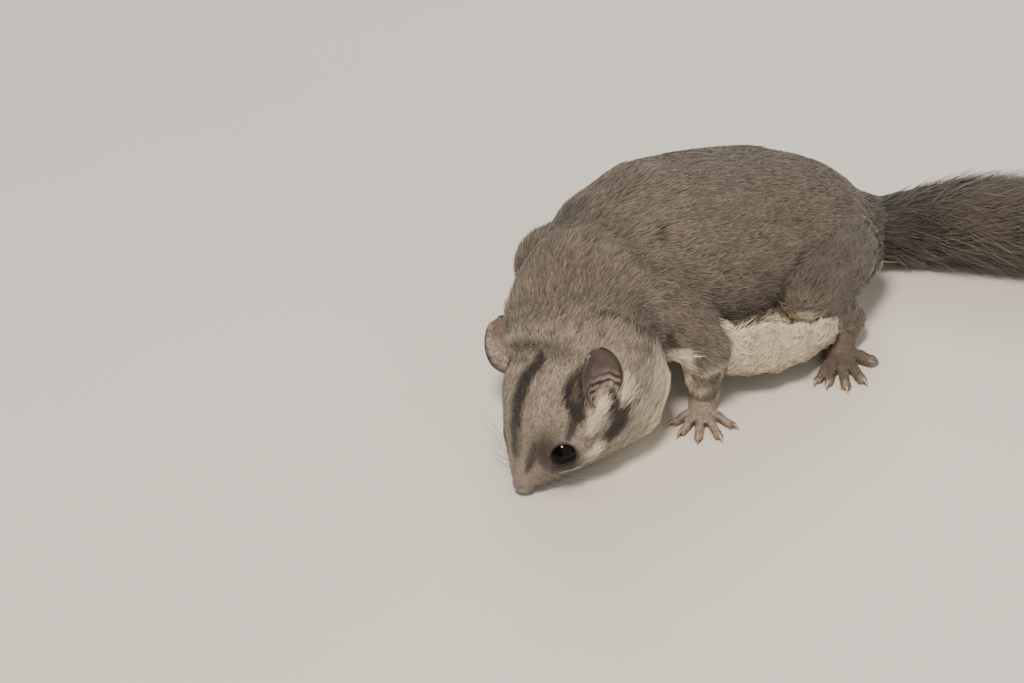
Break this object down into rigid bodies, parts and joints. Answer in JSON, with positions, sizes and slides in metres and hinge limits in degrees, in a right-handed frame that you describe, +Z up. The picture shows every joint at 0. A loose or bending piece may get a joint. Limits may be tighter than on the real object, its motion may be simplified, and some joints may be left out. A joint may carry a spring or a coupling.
{
  "type": "sugar glider",
  "caption": "Still, life-size sugar glider crouched on the ground with its head bent down to feed and its bushy tail laid out to one side.",
  "frame": {"origin": "on the ground, under the middle of the whole animal's box", "axes": "+Z up, -Y the way the animal faces, +X its left side"},
  "size_m": [0.1508, 0.274, 0.0575],
  "materials": {
    "grey_fur": "short plush fur",
    "tail_fur": "long soft fur",
    "cream_fur": "short pale fur",
    "bare_skin": "bare skin",
    "ear_skin": "thin bare skin",
    "eye": "wet and glossy"
  },
  "bodies": {
    "root": {"torso": "grey_fur", "neck": "grey_fur", "head": "grey_fur", "upper_arm_left": "grey_fur", "upper_arm_right": "grey_fur", "forearm_left": "grey_fur", "forearm_right": "grey_fur", "thigh_left": "grey_fur", "thigh_right": "grey_fur", "shin_left": "grey_fur", "shin_right": "grey_fur", "tail_base": "tail_fur", "tail_middle": "tail_fur", "tail_end": "tail_fur", "eye_left": "eye", "ear_left": "ear_skin", "hand_left": "bare_skin", "foot_left": "bare_skin", "membrane_left": "cream_fur", "eye_right": "eye", "ear_right": "ear_skin", "hand_right": "bare_skin", "foot_right": "bare_skin", "membrane_right": "cream_fur"}
  },
  "joints": []
}
